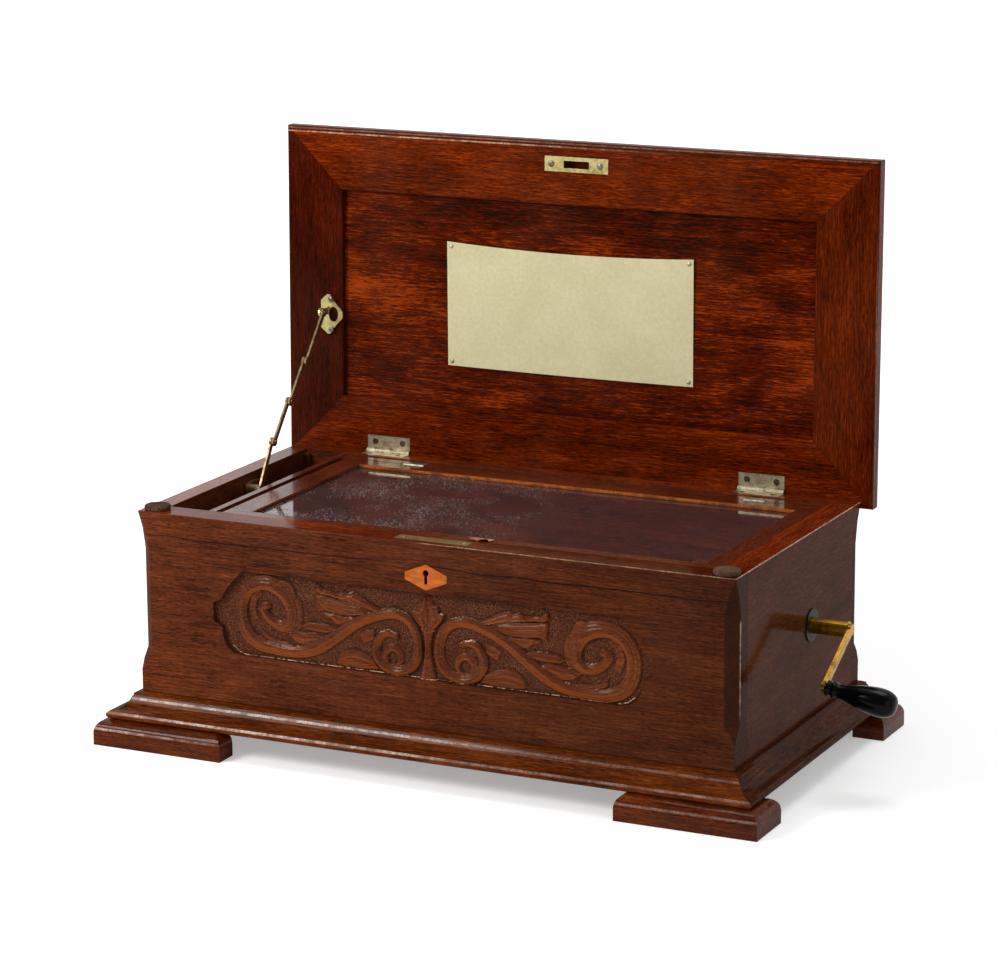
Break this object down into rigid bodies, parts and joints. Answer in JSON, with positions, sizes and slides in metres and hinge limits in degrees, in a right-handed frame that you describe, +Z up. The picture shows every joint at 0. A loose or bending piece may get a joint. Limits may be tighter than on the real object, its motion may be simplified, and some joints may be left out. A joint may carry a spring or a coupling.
{
  "type": "music box",
  "caption": "Hand-wound cylinder music box in a carved wooden case on a plinth, with a stayed lid, a glass inner lid, a side crank and a pinned-cylinder movement.",
  "frame": {"origin": "on the floor under the middle of the whole object at rest, the crank and the open lid included", "axes": "+X to the crank side, -Y to the front with the keyhole, +Z up"},
  "size_m": [0.7418, 0.376, 0.5426],
  "materials": {
    "mahogany": "polished red-brown mahogany",
    "mahogany_side": "duller grey-brown mahogany",
    "lid_mahogany": "polished orange-red mahogany",
    "pine": "plain sawn softwood",
    "hinge_brass": "worn pale brass",
    "brass": "worn brass",
    "movement_brass": "satin brass",
    "comb_steel": "ground steel",
    "black_wood": "polished black",
    "dark_iron": "dark iron",
    "felt": "brown felt",
    "leather": "brown leather",
    "card": "cream paper card",
    "glass": "clear sheet glass"
  },
  "bodies": {
    "case": {"front_wall": "mahogany", "back_wall": "mahogany", "left_wall": "mahogany", "right_wall": "mahogany_side", "bottom_board": "pine", "partition": "mahogany", "hinge_strip": "mahogany", "plinth_front": "mahogany", "plinth_back": "mahogany", "plinth_left": "mahogany", "plinth_right": "mahogany", "foot_front_left": "mahogany", "foot_front_right": "mahogany", "foot_back_left": "mahogany", "foot_back_right": "mahogany", "case_hinge_leaf_left": "hinge_brass", "case_hinge_leaf_right": "hinge_brass", "lock_case": "brass", "escutcheon": "brass", "bumper_pad_left": "felt", "bumper_pad_right": "felt", "stay_bracket": "hinge_brass", "crank_washer": "dark_iron", "bedplate": "movement_brass", "comb": "comb_steel", "governor_frame": "movement_brass", "barrel_frame": "movement_brass", "strip_hinge_leaf_left": "hinge_brass", "strip_hinge_leaf_right": "hinge_brass"},
    "lid": {"lid_rail_front": "lid_mahogany", "lid_rail_back": "lid_mahogany", "lid_rail_left": "lid_mahogany", "lid_rail_right": "lid_mahogany", "lid_panel": "lid_mahogany", "lid_card": "card", "strike_plate": "hinge_brass", "lid_hinge_leaf_left": "hinge_brass", "lid_hinge_leaf_right": "hinge_brass", "stay_plate": "hinge_brass"},
    "stay_link_1": {"stay_link_1": "hinge_brass"},
    "stay_link_2": {"stay_link_2": "hinge_brass"},
    "stay_link_3": {"stay_link_3": "hinge_brass"},
    "stay_link_4": {"stay_link_4": "hinge_brass"},
    "glass_lid": {"glass_rail_front": "mahogany", "glass_rail_back": "mahogany", "glass_rail_left": "mahogany", "glass_rail_right": "mahogany", "glass_pane": "glass", "pull_tab": "leather", "glass_hinge_leaf_left": "hinge_brass", "glass_hinge_leaf_right": "hinge_brass"},
    "crank": {"winding_shaft": "brass", "crank_arm": "brass"},
    "grip": {"crank_grip": "black_wood"},
    "cylinder": {"pin_cylinder": "movement_brass"},
    "barrel": {"spring_barrel": "movement_brass"},
    "governor_wheel": {"governor_wheel": "movement_brass"},
    "governor_fan": {"governor_fan": "movement_brass"},
    "play_lever": {"play_lever": "movement_brass"},
    "lock_bolt": {"lock_bolt": "brass"}
  },
  "joints": [
    {"name": "lid_hinge", "type": "hinge", "parent": "case", "child": "lid", "pos_m": [-0.03593, 0.1573, 0.22275], "axis": [-1, 0, 0], "range_deg": [-90.1, 0]},
    {"name": "stay_pivot_1", "type": "hinge", "parent": "lid", "child": "stay_link_1", "pos_m": [-0.29793, 0.144, 0.361], "axis": [-1, 0, 0], "range_deg": [0, 58.7]},
    {"name": "stay_pivot_4", "type": "hinge", "parent": "case", "child": "stay_link_4", "pos_m": [-0.30663, 0.025, 0.206], "axis": [-1, 0, 0], "range_deg": [-200.5, 0]},
    {"name": "stay_pivot_3", "type": "hinge", "parent": "stay_link_4", "child": "stay_link_3", "pos_m": [-0.30373, 0.05, 0.2488], "axis": [-1, 0, 0], "range_deg": [0, 131.5]},
    {"name": "stay_pivot_2", "type": "hinge", "parent": "stay_link_3", "child": "stay_link_2", "pos_m": [-0.30083, 0.0789, 0.2835], "axis": [-1, 0, 0], "range_deg": [0, 187.7]},
    {"name": "glass_lid_hinge", "type": "hinge", "parent": "case", "child": "glass_lid", "pos_m": [-0.03593, 0.121, 0.2209], "axis": [-1, 0, 0], "range_deg": [0, 85]},
    {"name": "crank_turn", "type": "hinge", "parent": "case", "child": "crank", "pos_m": [0.26407, 0.029, 0.135], "axis": [1, 0, 0], "continuous": true},
    {"name": "grip_spin", "type": "hinge", "parent": "crank", "child": "grip", "pos_m": [0.30217, -0.03711, 0.09896], "axis": [0.989, 0, -0.1478], "continuous": true},
    {"name": "cylinder_spin", "type": "hinge", "parent": "case", "child": "cylinder", "pos_m": [-0.03593, -0.03016, 0.125], "axis": [1, 0, 0], "continuous": true},
    {"name": "barrel_spin", "type": "hinge", "parent": "case", "child": "barrel", "pos_m": [0.15407, 0.029, 0.135], "axis": [1, 0, 0], "continuous": true},
    {"name": "governor_wheel_spin", "type": "hinge", "parent": "case", "child": "governor_wheel", "pos_m": [-0.19193, 0.00185, 0.11936], "axis": [1, 0, 0], "continuous": true},
    {"name": "governor_fan_spin", "type": "hinge", "parent": "case", "child": "governor_fan", "pos_m": [-0.21693, 0.01734, 0.12], "axis": [0, 0, 1], "continuous": true},
    {"name": "play_lever_swing", "type": "hinge", "parent": "case", "child": "play_lever", "pos_m": [-0.24793, -0.01, 0.147], "axis": [0, 0, 1], "range_deg": [0, 12]},
    {"name": "lock_bolt_slide", "type": "slide", "parent": "case", "child": "lock_bolt", "axis": [0, 0, 1], "range_m": [0, 0.008]}
  ],
  "couplings": [
    {"joint": "stay_pivot_1", "follows": "lid_hinge", "ratio": -0.65},
    {"joint": "stay_pivot_4", "follows": "lid_hinge", "ratio": 2.224},
    {"joint": "stay_pivot_3", "follows": "lid_hinge", "ratio": -1.458},
    {"joint": "stay_pivot_2", "follows": "lid_hinge", "ratio": -2.082},
    {"joint": "barrel_spin", "follows": "cylinder_spin", "ratio": -0.36364},
    {"joint": "governor_wheel_spin", "follows": "cylinder_spin", "ratio": -4},
    {"joint": "governor_fan_spin", "follows": "cylinder_spin", "ratio": 80}
  ]
}
